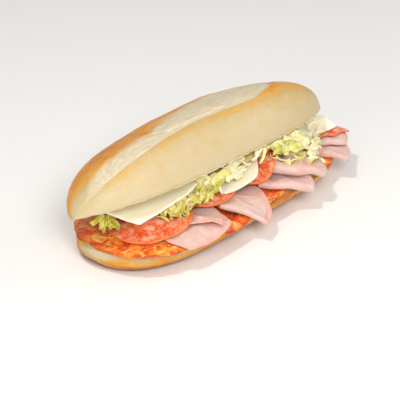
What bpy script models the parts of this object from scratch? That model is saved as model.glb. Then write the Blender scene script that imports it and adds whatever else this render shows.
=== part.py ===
"""Submarine sandwich: a split roll filled with folded ham, salami, cheese and lettuce.

X runs along the roll, -Y is the open side with the filling, +Z is up. Fillings are laid one
after another, and each slice sags until it rests on what already lies below it.
"""
import math

import bmesh
import bpy
import numpy as np
from mathutils import Euler, Vector

MM = 0.001
GAP = 0.4 * MM
HEADROOM = 3.2 * MM

# Heel: the lower half of the roll.
HEEL_HALF_LENGTH = 147 * MM
HEEL_HALF_WIDTH = 54.5 * MM
HEEL_HEIGHT = 19.5 * MM
HEEL_ROUNDING = 1.12
HEEL_END_Y = -12 * MM
HEEL_BELLY = 8 * MM
HEEL_END_POWER = 5.1
HEEL_SIDE_POWER = 2.05
HEEL_LEFT_FULLNESS = 2.2
HEEL_FULL_FROM = 0.1

# Crown: the upper half, hinged open towards the front.
CROWN_HALF_LENGTH = 148.5 * MM
CROWN_HALF_WIDTH = 53.5 * MM
CROWN_HEIGHT = 44 * MM
CROWN_LEFT_POWER = 3.15
CROWN_RIGHT_POWER = 3.4
CROWN_SIDE_POWER = 2.88
END_TAPER = 0.65
CROWN_CENTRE = Vector((-7.2 * MM, -8.8 * MM, 48.8 * MM))
CROWN_TURN = Euler((math.radians(-20.4), math.radians(-0.7), math.radians(-0.5)))

# Baker's cut along the crown: the band of pale crumb and the lip of crust beside it.
SCORE_CENTRE_X = -33 * MM
SCORE_HALF_LENGTH = 108 * MM
SCORE_ANGLE = math.radians(72)
SCORE_HALF_ANGLE = math.radians(17)
SCORE_DEPTH = 1.5 * MM
LIP_HEIGHT = 1.8 * MM
LIP_WIDTH = math.radians(5)
NECK_X = -58 * MM
NECK_LENGTH = 12 * MM

# Sunken place on the crown's back, where the loaf rose less.
HOLLOW_X = -64 * MM
HOLLOW_LENGTH = 30 * MM
HOLLOW_DEPTH = 2 * MM
HOLLOW_ANGLE = math.radians(108)
HOLLOW_SPREAD = 0.6

# Slices.
SALAMI_THICKNESS = 1.5 * MM
HAM_THICKNESS = 1.4 * MM
CHEESE_THICKNESS = 2.0 * MM
LEAF_THICKNESS = 1.2 * MM

# Rings of points in a slice, as shares of the way from its middle to its edge; a slice that
# drapes over the heel's rim has them closer together there.
EVEN_RINGS = (1 / 3, 2 / 3, 1.0)
DRAPED_RINGS = (0.4, 0.76, 0.89, 1.0)

# Raster that records how high the filling stands.
CELL = 1 * MM
RASTER_X = np.arange(-180, 181) * CELL
RASTER_Y = np.arange(-115, 76) * CELL
NOTHING = -1.0


def wobble(x, y, seed, size=1.0):
    """A smooth unevenness between about -1 and 1, fixed by its seed."""
    a = np.sin((x * 61 + y * 37) / size + seed * 1.7)
    b = np.sin((x * 29 - y * 83) / size + seed * 2.9 + 1.3)
    c = np.sin((x * 113 + y * 97) / size + seed * 4.1 + 0.4)
    return (a + b + 0.6 * c) / 2.6


# ---------------------------------------------------------------- materials

def material(name, colour, roughness):
    made = bpy.data.materials.new(name)
    made.use_nodes = True
    made.diffuse_color = (*colour, 1)
    shader = made.node_tree.nodes["Principled BSDF"]
    shader.inputs["Base Color"].default_value = (*colour, 1)
    shader.inputs["Roughness"].default_value = roughness
    shader.inputs["Metallic"].default_value = 0
    return made


def make_materials():
    return {
        "crust": material("crust", (0.76, 0.50, 0.22), 0.55),
        "ham": material("ham", (0.83, 0.49, 0.43), 0.35),
        "salami": material("salami", (0.66, 0.13, 0.05), 0.35),
        "capicola": material("capicola", (0.70, 0.16, 0.03), 0.3),
        "cheese": material("cheese", (0.83, 0.74, 0.52), 0.4),
        "lettuce": material("lettuce", (0.66, 0.66, 0.22), 0.45),
    }


# ---------------------------------------------------------------- objects

def add_object(name, mesh, surface, parent):
    mesh.materials.append(surface)
    obj = bpy.data.objects.new(name, mesh)
    bpy.data.collections["submarine_sandwich"].objects.link(obj)
    obj.parent = parent
    mesh.shade_smooth()
    mesh.set_sharp_from_angle(angle=math.radians(50))
    return obj


def mesh_from_bmesh(name, bm):
    if bm.calc_volume(signed=True) < 0:
        bmesh.ops.reverse_faces(bm, faces=bm.faces)
    mesh = bpy.data.meshes.new(name)
    bm.to_mesh(mesh)
    bm.free()
    return mesh


def reshaped_sphere(name, stations, segments, place):
    """A sphere with its poles on X, each vertex moved to place(s, angle).

    s runs from -1 to 1 between the poles; the angle goes round the X axis.
    """
    bm = bmesh.new()
    bmesh.ops.create_uvsphere(bm, u_segments=segments, v_segments=stations, radius=1)
    for vert in bm.verts:
        s = max(-1.0, min(1.0, vert.co.z))
        vert.co = place(s, math.atan2(vert.co.y, vert.co.x))
    return mesh_from_bmesh(name, bm)


# ---------------------------------------------------------------- the roll

def signed_power(value, power):
    return math.copysign(abs(value) ** power, value)


def end_profile(s, power, taper):
    """How much of the full width or height is left at s along the roll."""
    return max(0.0, 1 - abs(s) ** power) ** taper


def dome_angle(angle):
    """Spread two thirds of the segments over the dome, 0 at its front edge, pi at its back."""
    from_top = (angle - math.pi / 2 + math.pi) % (2 * math.pi) - math.pi
    if abs(from_top) <= 2 * math.pi / 3 + 1e-6:
        return math.pi / 2 + 0.75 * from_top
    from_below = (angle + math.pi / 2 + math.pi) % (2 * math.pi) - math.pi
    return -math.pi / 2 + 1.5 * from_below


def heel_middle_y(s):
    return HEEL_END_Y - HEEL_BELLY * (1 - s * s)


def heel_point(s, angle):
    """Flat cut face on top, rounded sides and a flat bottom to stand on."""
    theta = dome_angle(angle - math.pi)
    width = HEEL_HALF_WIDTH * end_profile(s, HEEL_END_POWER, END_TAPER)
    power = 2 / (HEEL_SIDE_POWER + HEEL_LEFT_FULLNESS * max(0.0, HEEL_FULL_FROM - s))
    if theta > 0:
        y = width * signed_power(math.cos(theta), power)
        depth = HEEL_ROUNDING * HEEL_HEIGHT * end_profile(s, 14, 0.5)
        z = max(0.0, HEEL_HEIGHT - depth * max(0.0, math.sin(theta)) ** power)
    else:
        y = width * (1 + 2 * theta / math.pi)
        z = HEEL_HEIGHT
    return Vector((s * HEEL_HALF_LENGTH, heel_middle_y(s) + y, z))


def score_relief(x, theta):
    """Height of the crust above the plain dome: a sunk band with a lip along its front."""
    along = (x - SCORE_CENTRE_X) / SCORE_HALF_LENGTH
    if abs(along) >= 1:
        return 0.0
    half = SCORE_HALF_ANGLE * (1 - abs(along) ** 3) ** 0.5
    across = (theta - SCORE_ANGLE) / SCORE_HALF_ANGLE
    fade = min(1.0, 3 * (1 - abs(along)))
    band = math.exp(-(((theta - SCORE_ANGLE) / (0.75 * half + 1e-3)) ** 4))
    front = math.exp(-(((theta - SCORE_ANGLE + half) / LIP_WIDTH) ** 2))
    back = math.exp(-(((theta - SCORE_ANGLE - half) / LIP_WIDTH) ** 2))
    neck = math.exp(-(((x - NECK_X) / NECK_LENGTH) ** 2) - ((across - 1) / 0.5) ** 2)
    return fade * (LIP_HEIGHT * front + 0.5 * LIP_HEIGHT * (back + neck) - SCORE_DEPTH * band)


def hollow(x, theta):
    """Depth of the sunken place at this point of the crust."""
    far = ((x - HOLLOW_X) / HOLLOW_LENGTH) ** 2 + ((theta - HOLLOW_ANGLE) / HOLLOW_SPREAD) ** 2
    return HOLLOW_DEPTH * math.exp(-far)


def crown_point(s, angle):
    """Domed crust over a flat cut face, in the crown's own frame."""
    theta = dome_angle(angle)
    left = end_profile(s, CROWN_RIGHT_POWER if s > 0 else CROWN_LEFT_POWER, END_TAPER)
    width = CROWN_HALF_WIDTH * left
    x = s * CROWN_HALF_LENGTH
    if theta <= 0:
        return Vector((x, -width * (1 + 2 * theta / math.pi), 0))
    y = -width * signed_power(math.cos(theta), 2 / CROWN_SIDE_POWER)
    z = CROWN_HEIGHT * left * max(0.0, math.sin(theta)) ** (2 / CROWN_SIDE_POWER)
    outward = Vector((0, y / CROWN_HALF_WIDTH, z / CROWN_HEIGHT))
    if outward.length > 0:
        outward.normalize()
    relief = score_relief(x, theta) - hollow(x, theta)
    return Vector((x, y, z)) + outward * relief * min(1, 2 * left)


def make_heel(surfaces, parent):
    mesh = reshaped_sphere("heel", 26, 24, heel_point)
    return add_object("heel", mesh, surfaces["crust"], parent)


def make_crown(surfaces, parent):
    mesh = reshaped_sphere("crown", 32, 24, crown_point)
    crown = add_object("crown", mesh, surfaces["crust"], parent)
    crown.location = CROWN_CENTRE
    crown.rotation_euler = CROWN_TURN
    return crown


def crown_underside(x, y):
    """Height of the crown's cut face."""
    normal = CROWN_TURN.to_matrix() @ Vector((0, 0, 1))
    slide = normal.x * (x - CROWN_CENTRE.x) + normal.y * (y - CROWN_CENTRE.y)
    return CROWN_CENTRE.z - slide / normal.z


# ---------------------------------------------------------------- the pile

def covered_cells(corners):
    """Raster cells inside a triangle, seen from above, with their weights on its corners."""
    origin = np.array((RASTER_X[0], RASTER_Y[0]))
    low = np.floor((corners.min(axis=0)[:2] - origin) / CELL).astype(int)
    high = np.ceil((corners.max(axis=0)[:2] - origin) / CELL).astype(int)
    i, j = np.meshgrid(np.arange(low[0], high[0] + 1), np.arange(low[1], high[1] + 1), indexing="ij")
    i, j = i.ravel(), j.ravel()
    (ax, ay), (bx, by), (cx, cy) = corners[:, :2]
    area = (bx - ax) * (cy - ay) - (by - ay) * (cx - ax)
    if abs(area) < 1e-12:
        return i[:0], j[:0], np.zeros((0, 3))
    x, y = RASTER_X[i], RASTER_Y[j]
    wb = ((x - ax) * (cy - ay) - (y - ay) * (cx - ax)) / area
    wc = ((bx - ax) * (y - ay) - (by - ay) * (x - ax)) / area
    slack = 0.5 * CELL / abs(area) ** 0.5
    inside = (wb >= -slack) & (wc >= -slack) & (wb + wc <= 1 + slack)
    weights = np.clip(np.stack((1 - wb - wc, wb, wc), 1)[inside], 0, 1)
    return i[inside], j[inside], weights / weights.sum(axis=1)[:, None]


class Pile:
    """How high the filling stands over each cell of a raster."""

    def __init__(self, top=None):
        self.top = np.full((len(RASTER_X), len(RASTER_Y)), NOTHING) if top is None else top

    def copy(self):
        return Pile(self.top.copy())

    def add_faces(self, points, faces):
        for face in faces:
            corners = points[list(face)]
            i, j, weights = covered_cells(corners)
            np.maximum.at(self.top, (i, j), weights @ corners[:, 2])

    def add(self, obj):
        """Raise the pile to the top of an object, as its modifiers leave it."""
        graph = bpy.context.evaluated_depsgraph_get()
        graph.update()
        shown = obj.evaluated_get(graph)
        mesh = shown.to_mesh()
        mesh.calc_loop_triangles()
        points = np.array([obj.matrix_world @ vert.co for vert in mesh.vertices])
        self.add_faces(points, [tuple(face.vertices) for face in mesh.loop_triangles])
        shown.to_mesh_clear()

    def spread(self, steps):
        """The pile's top, each cell raised to the highest one within a few steps."""
        wide = self.top.copy()
        for _ in range(steps):
            near = wide
            for shift in ((1, 0), (-1, 0), (0, 1), (0, -1)):
                near = np.maximum(near, np.roll(wide, shift, axis=(0, 1)))
            wide = near
        return wide

    def settle(self, points, faces, room=GAP):
        """Raise corners of the faces, as little as it takes, until all of them clear the pile."""
        wide = self.spread(1)
        cells = []
        for face in faces:
            i, j, weights = covered_cells(points[list(face)])
            if len(i):
                cells.append((list(face), wide[i, j] + room, weights))
        for _ in range(60):
            clear = True
            for face, floor, weights in cells:
                depth = floor - weights @ points[face, 2]
                worst = int(np.argmax(depth))
                if depth[worst] > 1e-6:
                    share = weights[worst]
                    points[face, 2] += depth[worst] * share / (share @ share)
                    clear = False
            if clear:
                return points
        return points


# ---------------------------------------------------------------- slices

def soft_outline(corners, count, softness):
    """Points round a polygon, the same number on each side, with its corners rounded."""
    corners = np.array(corners) * MM
    dense = 8
    steps = np.arange(count * dense) / (count * dense)
    points = [a + (b - a) * steps[:, None] for a, b in zip(corners, np.roll(corners, -1, axis=0))]
    points = np.concatenate(points)
    for _ in range(int(softness * 100)):
        points = (np.roll(points, 1, axis=0) + 2 * points + np.roll(points, -1, axis=0)) / 4
    return points[::dense]


def round_outline(centre, radius, count, seed):
    turns = np.arange(count) / count * 2 * math.pi
    reach = radius * MM * (1 + 0.02 * np.sin(3 * turns + seed) + 0.012 * np.sin(5 * turns + 2 * seed))
    return np.stack((centre[0] * MM + reach * np.cos(turns), centre[1] * MM + reach * np.sin(turns)), 1)


def disc_points(edge, rings):
    """The middle of an outline, then rings at these shares of the way to its edge."""
    middle = edge.mean(axis=0)
    parts = [middle[None, :]]
    for share in rings:
        parts.append(middle + (edge - middle) * share)
    return np.concatenate(parts)


def disc_faces(count, rings):
    """Triangles and quads over disc_points, all facing up."""
    faces = []
    for j in range(count):
        after = (j + 1) % count
        faces.append((0, 1 + j, 1 + after))
        for ring in range(1, rings):
            inner = 1 + (ring - 1) * count
            outer = inner + count
            faces.append((inner + j, outer + j, outer + after))
            faces.append((inner + j, outer + after, inner + after))
    return faces


def mound(crest, front, back, lean=0.0, middle=0.0):
    """Height across the roll from (y, z) at crest, front and back, in mm; it leans along X."""
    ys = np.array((front[0], crest[0], back[0])) * MM
    zs = np.array((front[1], crest[1], back[1])) * MM

    def height(x, y):
        t = np.clip((y - ys[0]) / (ys[1] - ys[0]), 0, 1)
        rise = zs[0] + (zs[1] - zs[0]) * (1 - (1 - t) ** 2)
        u = np.clip((y - ys[1]) / (ys[2] - ys[1]), 0, 1)
        return rise + (zs[2] - zs[1]) * u * u + lean * (x - middle * MM)

    return height


def cap(centre, top, reach, drop, lean=0.0):
    """Height of a slice that hangs down all round its middle, in mm."""
    def height(x, y):
        far = np.hypot(x - centre[0] * MM, y - centre[1] * MM) / (reach * MM)
        return (top - drop * far * far) * MM + lean * (x - centre[0] * MM)

    return height


def laid(pile, edge, rings, wanted, waves, seed, room=GAP):
    """Points of a slice's underside: where it is wanted, but never inside the pile."""
    plan = disc_points(edge, rings)
    x, y = plan[:, 0], plan[:, 1]
    height = wanted(x, y) + waves * MM * wobble(x, y, seed)
    height = np.minimum(height, crown_underside(x, y) - HEADROOM)
    return pile.settle(np.column_stack((plan, height)), disc_faces(len(edge), len(rings)), room)


def finish_slice(name, bm, thickness, offset, surface, parent, pile):
    mesh = bpy.data.meshes.new(name)
    bm.to_mesh(mesh)
    bm.free()
    obj = add_object(name, mesh, surface, parent)
    solid = obj.modifiers.new("thickness", "SOLIDIFY")
    solid.thickness = thickness
    solid.offset = offset
    pile.add(obj)
    return obj


def make_slice(name, pile, edge, wanted, thickness, surface, parent, waves=0.5, seed=1, room=GAP,
               rings=EVEN_RINGS):
    """One flat slice that sags over the pile."""
    under = laid(pile, edge, rings, wanted, waves, seed, room)
    bm = bmesh.new()
    verts = [bm.verts.new(point) for point in under]
    for face in disc_faces(len(edge), len(rings)):
        bm.faces.new([verts[k] for k in face])
    return finish_slice(name, bm, thickness, 1, surface, parent, pile)


def make_fold(name, pile, lower, upper, joined, wanted, puff, surface, parent, seed=1):
    """A slice folded over on itself: a lower and an upper flap joined round the fold.

    Both outlines have the same number of points, and the flaps are joined at the points in
    joined, a range of them.
    """
    thickness = HAM_THICKNESS
    rings = EVEN_RINGS
    faces = disc_faces(len(lower), len(rings))
    under = laid(pile, lower, rings, wanted, 0.5, seed)
    inside = pile.copy()
    inside.add_faces(under + (0, 0, 1.15 * thickness), faces)
    top = laid(inside, upper, rings, wanted, 0.5, seed + 1, room=0.7 * MM)
    fold = upper[list(joined)]
    away = np.linalg.norm(top[:, None, :2] - fold[None, :, :], axis=2).min(axis=1)
    top[:, 2] += thickness + puff * MM * np.exp(-away / (8 * MM))

    bm = bmesh.new()
    low = [bm.verts.new(point) for point in under]
    high = [bm.verts.new(point) for point in top]
    for face in faces:
        bm.faces.new([low[k] for k in reversed(face)])
        bm.faces.new([high[k] for k in face])
    first = len(low) - len(lower)
    arcs = 3
    columns = []
    for j in joined:
        start, end = low[first + j], high[first + j]
        outward = Vector((*(lower[j] - lower.mean(axis=0)), 0)).normalized()
        radius = (end.co.z - start.co.z) / 2
        column = [start]
        for step in range(1, arcs + 1):
            angle = math.pi * step / (arcs + 1)
            point = start.co.lerp(end.co, (1 - math.cos(angle)) / 2)
            column.append(bm.verts.new(point + outward * radius * math.sin(angle)))
        column.append(end)
        columns.append(column)
    for here, there in zip(columns, columns[1:]):
        for step in range(arcs + 1):
            bm.faces.new((here[step], there[step], there[step + 1], here[step + 1]))
    return finish_slice(name, bm, thickness, -1, surface, parent, pile)


# ---------------------------------------------------------------- fillings

def make_capicola(pile, surfaces, parent):
    """Four shingled slices that cover the heel's cut face."""
    layout = ((-91, -18, 55), (-34, -24, 56), (13, -25, 50), (86, -17, 50))
    for number, (x, y, radius) in enumerate(layout, 1):
        edge = round_outline((x, y), radius, 26, number)
        wanted = mound((-62, 20), (-84, 11), (30, 20))
        make_slice(f"capicola_{number}", pile, edge, wanted, SALAMI_THICKNESS,
                   surfaces["capicola"], parent, seed=number, rings=DRAPED_RINGS)


def make_ham(pile, surfaces, parent):
    """Folded slices that reach right across the roll and hang over its front edge."""
    ham = surfaces["ham"]
    lower = soft_outline([(-44, -80), (-35, -58), (-42, 24), (-94, 22), (-102, -58), (-96, -80)], 4, 0.2)
    upper = soft_outline([(-55, -79), (-37, -58), (-42, 24), (-88, 22), (-94, -42), (-75, -56)], 4, 0.04)
    wanted = mound((-45, 24), (-82, 17), (25, 22))
    make_fold("ham_1", pile, lower, upper, range(8, 13), wanted, 2.5, ham, parent)

    lower = soft_outline([(-34, -56), (-17, -92), (2, -83), (16, -58), (14, 20), (-36, 22)], 3, 0.06)
    upper = soft_outline([(-34, -56), (-16, -90), (-4, -82), (2, -69), (-13, -54), (-34, 22)], 3, 0.03)
    wanted = mound((-50, 26), (-92, 15), (25, 22))
    make_fold("ham_2", pile, lower, upper, range(0, 4), wanted, 1.5, ham, parent)

    lower = soft_outline([(18, -54), (38, -71), (53, -85), (62, -77), (74, 16), (26, 20)], 3, 0.05)
    upper = soft_outline([(20, -52), (38, -69), (52, -83), (60, -75), (71, 16), (28, 20)], 3, 0.05)
    wanted = mound((-45, 21), (-90, 17), (25, 22))
    make_fold("ham_3_lower", pile, lower, upper, range(0, 11), wanted, 4, ham, parent)

    lower = soft_outline([(35, -47), (52, -69), (67, -84), (81, -77), (88, 14), (42, 18)], 3, 0.06)
    upper = soft_outline([(37, -46), (52, -67), (66, -82), (79, -75), (84, 14), (44, 18)], 3, 0.06)
    wanted = mound((-45, 28), (-92, 25), (25, 24))
    make_fold("ham_3_upper", pile, lower, upper, range(0, 11), wanted, 4, ham, parent)

    lower = soft_outline([(104, -50), (120, -72), (135, -60), (143, -44), (124, 8), (98, 12)], 3, 0.05)
    upper = soft_outline([(106, -48), (120, -70), (134, -58), (141, -42), (122, 6), (100, 10)], 3, 0.05)
    wanted = mound((-40, 21), (-74, 16), (20, 22))
    make_fold("ham_4_lower", pile, lower, upper, range(0, 11), wanted, 2, ham, parent)

    lower = soft_outline([(109, -46), (133, -59), (151, -45), (147, -30), (128, 6), (106, 8)], 3, 0.07)
    upper = soft_outline([(111, -44), (133, -57), (150, -44), (145, -30), (126, 4), (108, 6)], 3, 0.07)
    wanted = mound((-35, 24), (-60, 20), (20, 24))
    make_fold("ham_4_upper", pile, lower, upper, range(0, 11), wanted, 1.2, ham, parent)


def make_salami(pile, surfaces, parent):
    """Round slices that lean on the ham."""
    layout = (
        (1, (-87, -24), 37, cap((-84, -18), 35, 36, 13, 0.06)),
        (2, (-29, -20), 38, mound((-30, 36), (-58, 30), (20, 28))),
        (3, (24, -20), 38, mound((-28, 38), (-58, 32), (20, 28), 0.12, 24)),
    )
    for number, centre, radius, wanted in layout:
        edge = round_outline(centre, radius, 22, number + 4)
        make_slice(f"salami_{number}", pile, edge, wanted, SALAMI_THICKNESS,
                   surfaces["salami"], parent, seed=number + 5)
    folded = soft_outline([(106, -40), (124, -50), (152, -49), (151, -26), (130, 8), (98, 4)], 4, 0.04)
    make_slice("salami_4", pile, folded, mound((-20, 30), (-58, 27), (20, 26)), SALAMI_THICKNESS,
               surfaces["salami"], parent, seed=9)


def make_cheese_2(pile, surfaces, parent):
    edge = soft_outline([(-26, -55), (10, -58), (29, -42), (28, 10), (-34, 14)], 4, 0.15)
    wanted = mound((-30, 42), (-60, 36), (15, 32), 0.2, 0)
    make_slice("cheese_2", pile, edge, wanted, CHEESE_THICKNESS, surfaces["cheese"], parent)


def lettuce_front(x):
    """How far the heap of shreds comes forward under the crown's front edge."""
    knots_x = np.array((-120, -102, -90, -60, 0, 60, 88, 108, 130)) * MM
    knots_y = np.array((-12, -28, -44, -50, -52, -52, -58, -50, -32)) * MM
    return float(np.interp(x, knots_x, knots_y)) + 1.5 * MM * wobble(x, 0, 3, 0.4)


def lettuce_top(x, y):
    """The heap fills up to the crown in the middle and stays under the cheese at both ends."""
    ceiling = crown_underside(x, y)
    left = 46 * MM + max(0.0, x + 52 * MM) * 1.2
    right = 44 * MM + max(0.0, 86 * MM - x) * 1.2
    height = min(left, right, ceiling - 0.8 * MM) - 1.5 * MM * (1 + wobble(x, y, 8, 0.35))
    under_cheese = x < -44 * MM or x > 80 * MM
    return min(height, ceiling - (4.6 if under_cheese else 0.8) * MM)


def make_lettuce(pile, surfaces, parent):
    """The heap of shreds that fills what is left between the slices and the crown."""
    floor = pile.spread(2)
    room = crown_underside(RASTER_X[:, None], RASTER_Y[None, :]) - floor
    left, right = -120 * MM, 128 * MM

    def back_edge(x):
        column = int(round((x - RASTER_X[0]) / CELL))
        start = int(round((-36 * MM - RASTER_Y[0]) / CELL))
        tight = np.nonzero(room[column, start:] < 7 * MM)[0]
        return min(RASTER_Y[start + tight[0]] if len(tight) else 18 * MM, 18 * MM)

    def place(s, angle):
        theta = dome_angle(angle)
        x = (left + right) / 2 + s * (right - left) / 2
        full = end_profile(s, 6, 0.5)
        front, back = lettuce_front(x), back_edge(x)
        y = (front + back) / 2 - full * (back - front) / 2 * signed_power(math.cos(theta), 0.8)
        i = int(round((x - RASTER_X[0]) / CELL))
        j = int(round((y - RASTER_Y[0]) / CELL))
        low = max(floor[i, j], 24 * MM) + GAP
        high = max(lettuce_top(x, y), low + 2 * MM)
        level = 0.35 + (0.65 if theta > 0 else 0.35) * signed_power(math.sin(theta), 0.6)
        return Vector((x, y, low + (high - low) * level * max(0.3, full)))

    mesh = reshaped_sphere("lettuce", 34, 12, place)
    mesh.calc_loop_triangles()
    points = np.array([vert.co for vert in mesh.vertices])
    pile.settle(points, [tuple(face.vertices) for face in mesh.loop_triangles])
    for vert, point in zip(mesh.vertices, points):
        vert.co = point
    pile.add(add_object("lettuce", mesh, surfaces["lettuce"], parent))


def make_leaf(pile, surfaces, parent):
    """A ruffled green leaf that hangs out at the left end."""
    edge = soft_outline([(-112, 0), (-113, -20), (-123, -27), (-134, -20), (-137, -4), (-126, 5)], 4, 0.1)

    def wanted(x, y):
        ruffle = 2.0 * MM * np.sin(np.arctan2(y + 11 * MM, x + 123 * MM) * 5)
        far = np.hypot(x + 118 * MM, y + 8 * MM) / (20 * MM)
        return (42 - 11 * far) * MM + ruffle * far

    make_slice("lettuce_leaf", pile, edge, wanted, LEAF_THICKNESS, surfaces["lettuce"], parent,
               waves=0, room=1.5 * MM)


def make_upper_cheese(pile, surfaces, parent):
    """Slices that lie on the lettuce, right under the crown."""
    edge = soft_outline([(-123, -50), (-46, -44), (-58, 18), (-126, 16)], 5, 0.04)
    wanted = mound((-25, 44), (-50, 46), (20, 34), 0.05, -85)
    make_slice("cheese_1", pile, edge, wanted, CHEESE_THICKNESS, surfaces["cheese"], parent, waves=0.2)
    edge = soft_outline([(137, -44), (138, -24), (118, 8), (88, 2), (94, -43)], 5, 0.04)
    wanted = mound((-26, 43), (-48, 35), (10, 33))
    make_slice("cheese_3", pile, edge, wanted, CHEESE_THICKNESS, surfaces["cheese"], parent, waves=0.2)


def stand_on_origin(root):
    """Move everything so that the origin is under the middle of the whole sandwich."""
    graph = bpy.context.evaluated_depsgraph_get()
    graph.update()
    corners = []
    for obj in root.children:
        shown = obj.evaluated_get(graph)
        corners += [shown.matrix_world @ vert.co for vert in shown.to_mesh().vertices]
    low = [min(corner[axis] for corner in corners) for axis in range(3)]
    high = [max(corner[axis] for corner in corners) for axis in range(3)]
    root.location = (-(low[0] + high[0]) / 2, -(low[1] + high[1]) / 2, -low[2])


def build():
    for obj in list(bpy.data.objects):
        bpy.data.objects.remove(obj, do_unlink=True)
    home = bpy.data.collections.new("submarine_sandwich")
    bpy.context.scene.collection.children.link(home)
    root = bpy.data.objects.new("sandwich", None)
    home.objects.link(root)
    surfaces = make_materials()
    pile = Pile()
    pile.add(make_heel(surfaces, root))
    make_capicola(pile, surfaces, root)
    make_ham(pile, surfaces, root)
    make_salami(pile, surfaces, root)
    make_cheese_2(pile, surfaces, root)
    make_lettuce(pile, surfaces, root)
    make_leaf(pile, surfaces, root)
    make_upper_cheese(pile, surfaces, root)
    make_crown(surfaces, root)
    stand_on_origin(root)


build()
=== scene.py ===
"""Submarine sandwich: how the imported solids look, with a plain pale studio round them.

Lengths are in metres. The roll lies along X, its open side with the filling faces -Y, +Z is up.
"""
import math

import bmesh
import bpy
import numpy as np
from mathutils import Euler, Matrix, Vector
from mathutils.bvhtree import BVHTree


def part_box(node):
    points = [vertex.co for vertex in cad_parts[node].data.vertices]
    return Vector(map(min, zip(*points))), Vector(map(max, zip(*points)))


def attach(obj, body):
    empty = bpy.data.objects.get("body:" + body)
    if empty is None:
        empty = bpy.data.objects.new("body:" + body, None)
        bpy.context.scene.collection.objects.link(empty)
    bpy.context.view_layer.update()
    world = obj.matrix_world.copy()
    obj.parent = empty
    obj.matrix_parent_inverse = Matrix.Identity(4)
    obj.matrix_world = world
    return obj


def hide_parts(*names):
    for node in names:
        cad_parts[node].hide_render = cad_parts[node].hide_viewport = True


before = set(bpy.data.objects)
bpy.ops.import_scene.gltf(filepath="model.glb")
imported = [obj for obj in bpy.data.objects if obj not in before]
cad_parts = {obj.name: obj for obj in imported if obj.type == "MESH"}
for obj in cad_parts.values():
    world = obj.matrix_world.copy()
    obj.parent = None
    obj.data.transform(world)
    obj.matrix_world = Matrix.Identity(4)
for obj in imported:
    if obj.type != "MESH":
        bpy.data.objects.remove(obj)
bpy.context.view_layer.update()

MM = 0.001

# The roll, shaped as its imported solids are.
HEEL_HALF_LENGTH = 147 * MM
HEEL_HALF_WIDTH = 54.5 * MM
HEEL_HEIGHT = 19.5 * MM
HEEL_ROUNDING = 1.12
HEEL_BELLY = 8 * MM
HEEL_END_POWER = 5.1
HEEL_BASE_POWER = 14
HEEL_BASE_TAPER = 0.5
HEEL_SIDE_POWER = 2.05
HEEL_LEFT_FULLNESS = 2.2
HEEL_FULL_FROM = 0.1
CROWN_HALF_LENGTH = 148.5 * MM
CROWN_HALF_WIDTH = 53.5 * MM
CROWN_HEIGHT = 44 * MM
CROWN_LEFT_POWER = 3.15
CROWN_RIGHT_POWER = 3.4
CROWN_SIDE_POWER = 2.88
END_TAPER = 0.65
CROWN_TURN = Euler((math.radians(-20.4), math.radians(-0.7), math.radians(-0.5))).to_matrix()
HOLLOW_X = -64 * MM
HOLLOW_LENGTH = 30 * MM
HOLLOW_DEPTH = 2 * MM
HOLLOW_ANGLE = math.radians(108)
HOLLOW_SPREAD = 0.6

HEEL_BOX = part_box("heel")
HEEL_MIDDLE = Vector(((HEEL_BOX[0].x + HEEL_BOX[1].x) / 2,
                      HEEL_BOX[0].y + HEEL_HALF_WIDTH + HEEL_BELLY, 0))
# The spot on the floor that places are measured from.
HEEL_FORWARD = 12 * MM
ORIGIN = HEEL_MIDDLE + Vector((0, HEEL_FORWARD, 0))
CROWN_CENTRE = ORIGIN + Vector((-7.2 * MM, -8.8 * MM, 48.8 * MM))


# ---------- unevenness

def lattice(cells, seed):
    """A fixed random number from -1 to 1 for each whole-numbered cell."""
    mixed = cells[..., 0] * 374761393 + cells[..., 1] * 668265263 + cells[..., 2] * 1440662683
    mixed = (mixed + seed * 1274126177) & 0xFFFFFFFF
    mixed = ((mixed ^ (mixed >> 13)) * 1274126177) & 0xFFFFFFFF
    return ((mixed ^ (mixed >> 16)) & 0xFFFF) / 32767.5 - 1


def mm(*sizes):
    return tuple(size * MM for size in sizes)


def smooth_noise(points, size, seed):
    """Smooth unevenness between -1 and 1, with lumps of about this size along each axis."""
    scaled = np.asarray(points, float) / size
    cells = np.floor(scaled).astype(np.int64)
    part = scaled - cells
    part = part * part * (3 - 2 * part)
    total = 0.0
    for corner in range(8):
        step = np.array((corner & 1, corner >> 1 & 1, corner >> 2))
        weight = np.where(step == 1, part, 1 - part).prod(axis=-1)
        total = total + weight * lattice(cells + step, seed)
    return total


def rough_noise(points, size, octaves, seed):
    """Unevenness between -1 and 1 with finer and weaker lumps on top of the coarse ones."""
    total, share, whole = 0.0, 1.0, 0.0
    for octave in range(octaves):
        total = total + share * smooth_noise(points, np.asarray(size) / 2 ** octave, seed + 31 * octave)
        whole += share
        share *= 0.5
    return total / whole


def soft_step(value):
    """From 0 below -1 to 1 above 1."""
    value = np.clip((value + 1) / 2, 0, 1)
    return value * value * (3 - 2 * value)


def bell(value):
    return np.exp(-value * value)


def rise(value, at, over):
    """From 0 to 1 round this value, over this much to either side."""
    return soft_step((value - at) / over)


def fall(value, at, over):
    """As rise, but from 1 to 0."""
    return soft_step((at - value) / over)


def hump(value, at, over):
    """A bell with its top at this value."""
    return bell((value - at) / over)


def curve(x, knots):
    """A line through (X in mm, value) knots, at places along the roll in metres."""
    at, value = zip(*knots)
    return np.interp(x / MM, at, value)


# ---------- materials

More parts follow.
